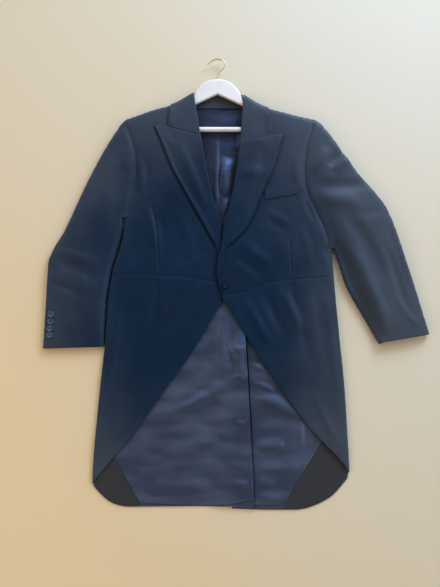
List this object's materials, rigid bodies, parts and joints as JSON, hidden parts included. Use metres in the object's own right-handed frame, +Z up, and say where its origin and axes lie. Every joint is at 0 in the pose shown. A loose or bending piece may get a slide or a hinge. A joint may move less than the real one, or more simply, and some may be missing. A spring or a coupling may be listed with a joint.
{
  "type": "morning coat laid flat on a hanger",
  "caption": "Tailcoat with peaked lapels, cutaway skirts and a back vent, laid flat face up with a wooden hanger inside its shoulders.",
  "frame": {"origin": "under the middle of the whole object, on the surface it lies on", "axes": "+Y from the hem to the collar, +Z up out of the surface and out of the coat's front, +X to the wearer's left"},
  "size_m": [0.9615, 1.122, 0.0277],
  "materials": {
    "cloth": "fine twill",
    "facing": "fine twill",
    "lining": "satin",
    "buttons": "polished rim",
    "wood": "white satin paint",
    "hook": "bright wire"
  },
  "bodies": {
    "root": {"back_left": "cloth", "back_right": "cloth", "sidebody_left": "cloth", "sidebody_right": "cloth", "front_left": "cloth", "front_right": "cloth", "skirt_left": "cloth", "skirt_right": "cloth", "lapel_left": "cloth", "lapel_right": "cloth", "collar_left": "cloth", "collar_right": "cloth", "collar_back": "cloth", "topsleeve_left": "cloth", "topsleeve_right": "cloth", "undersleeve_left": "cloth", "undersleeve_right": "cloth", "breast_welt": "cloth", "facing_left": "facing", "facing_right": "facing", "lining_left": "lining", "lining_right": "lining", "waist_button": "buttons", "cuff_button_1": "buttons", "cuff_button_2": "buttons", "cuff_button_3": "buttons", "cuff_button_4": "buttons", "hanger_body": "wood", "hanger_bar": "wood", "hanger_hook": "hook"}
  },
  "joints": []
}
